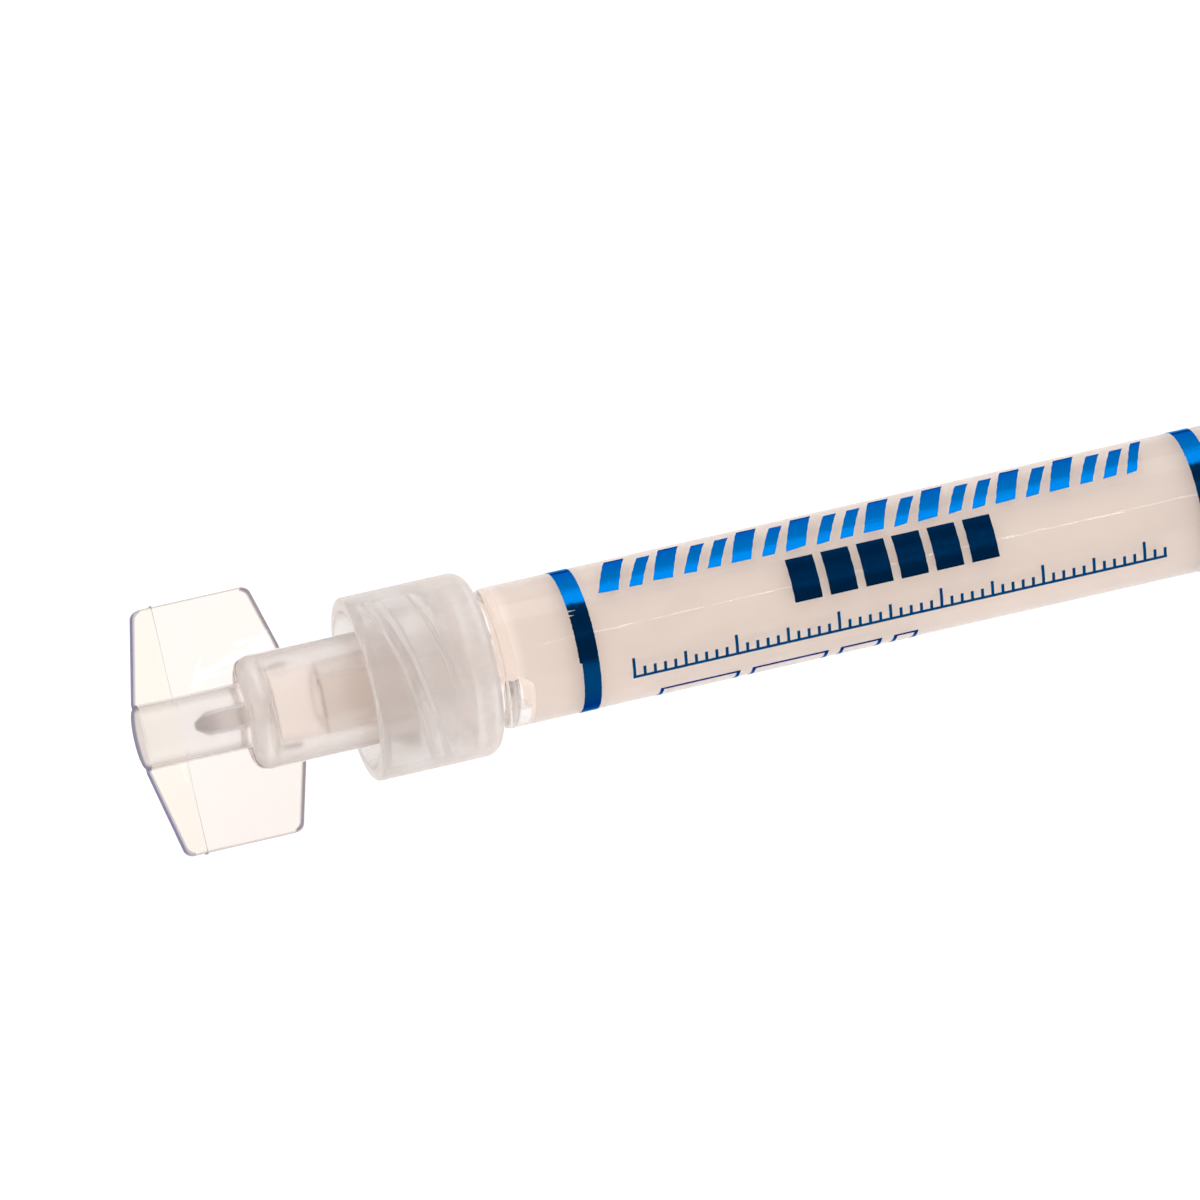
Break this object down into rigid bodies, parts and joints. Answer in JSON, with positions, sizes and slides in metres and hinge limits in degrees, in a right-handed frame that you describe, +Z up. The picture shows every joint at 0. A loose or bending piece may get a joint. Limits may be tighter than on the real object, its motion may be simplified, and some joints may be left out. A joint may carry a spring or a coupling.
{
  "type": "prefilled luer-lock gel syringe",
  "caption": "Slim clear prefilled gel syringe with a threaded luer-lock collar, a winged tip cap, stamped foil bands and bars and a cross-ribbed plunger rod.",
  "frame": {"origin": "centre of the syringe's bounding box, on its axis, 50 mm behind the lock collar's mouth", "axes": "+X along the axis from the cap towards the thumb pad, +Z up with the syringe lying down, +Y across the long way of the finger flange"},
  "size_m": [0.1248, 0.021, 0.012],
  "materials": {
    "barrel_plastic": "gloss",
    "cap_plastic": "gloss",
    "gel": "gloss",
    "stopper_rubber": "satin",
    "rod_plastic": "satin",
    "blue_foil": "polished"
  },
  "bodies": {
    "barrel": {"barrel": "barrel_plastic", "gel_column": "gel", "foil_band_front": "blue_foil", "foil_band_rear": "blue_foil", "foil_bar_wide": "blue_foil", "foil_bar_short": "blue_foil", "foil_scale": "blue_foil", "foil_bar_under": "blue_foil"},
    "tip_gel": {"gel_in_tip": "gel"},
    "cap": {"luer_cap": "cap_plastic"},
    "stopper": {"stopper": "stopper_rubber"},
    "plunger": {"plunger_rod": "rod_plastic"}
  },
  "joints": [
    {"name": "cap_unscrew", "type": "hinge", "parent": "barrel", "child": "tip_gel", "pos_m": [-0.04975, 0, 0], "axis": [-1, 0, 0], "range_deg": [0, 720]},
    {"name": "cap_advance", "type": "slide", "parent": "tip_gel", "child": "cap", "axis": [-1, 0, 0], "range_m": [0, 0.01]},
    {"name": "plunger_press", "type": "slide", "parent": "barrel", "child": "stopper", "axis": [-1, 0, 0], "range_m": [-0.004, 0.0417], "deforming": ["gel_column"]},
    {"name": "plunger_twist", "type": "hinge", "parent": "stopper", "child": "plunger", "pos_m": [0.00575, 0, 0], "axis": [1, 0, 0], "continuous": true}
  ],
  "couplings": [
    {"joint": "cap_unscrew", "follows": "cap_advance", "rad_per_m": 1256.6}
  ]
}
